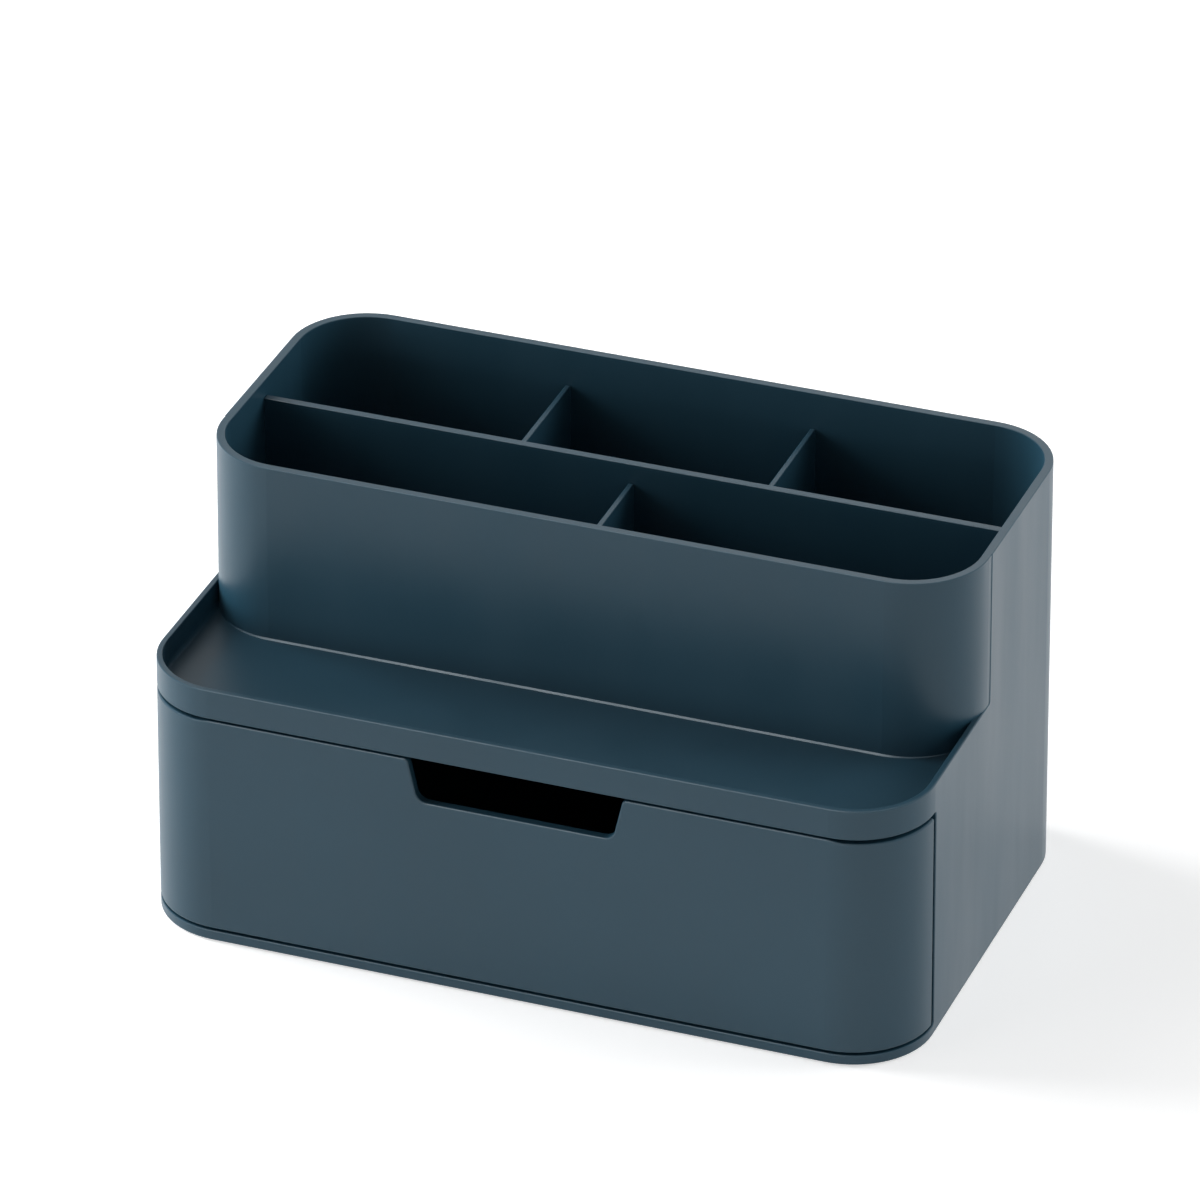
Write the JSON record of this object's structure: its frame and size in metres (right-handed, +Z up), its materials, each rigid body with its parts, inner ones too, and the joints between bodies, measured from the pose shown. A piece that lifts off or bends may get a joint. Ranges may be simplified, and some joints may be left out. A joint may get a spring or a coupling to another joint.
{
  "type": "desk organizer with drawer",
  "caption": "Two-level plastic desk organizer with rounded corners: upright bins at the back, an open tray in front, and a wide notched drawer below.",
  "frame": {"origin": "on the table under the middle of the base outline", "axes": "+X to the right seen from the front, +Y to the back, +Z up; the drawer opens towards -Y"},
  "size_m": [0.25, 0.157, 0.14],
  "materials": {
    "moulded_shell": "satin moulded",
    "moulded_drawer": "satin moulded",
    "divider_panels": "satin moulded",
    "foot_rubber": "matte"
  },
  "bodies": {
    "organizer": {"housing": "moulded_shell", "lengthwise_divider": "divider_panels", "front_cross_divider": "divider_panels", "back_cross_divider_left": "divider_panels", "back_cross_divider_right": "divider_panels", "foot_front_left": "foot_rubber", "foot_front_right": "foot_rubber", "foot_back_left": "foot_rubber", "foot_back_right": "foot_rubber"},
    "drawer_body": {"drawer": "moulded_drawer"}
  },
  "joints": [
    {"name": "drawer_slide", "type": "slide", "parent": "organizer", "child": "drawer_body", "axis": [0, -1, 0], "range_m": [0, 0.105]}
  ]
}
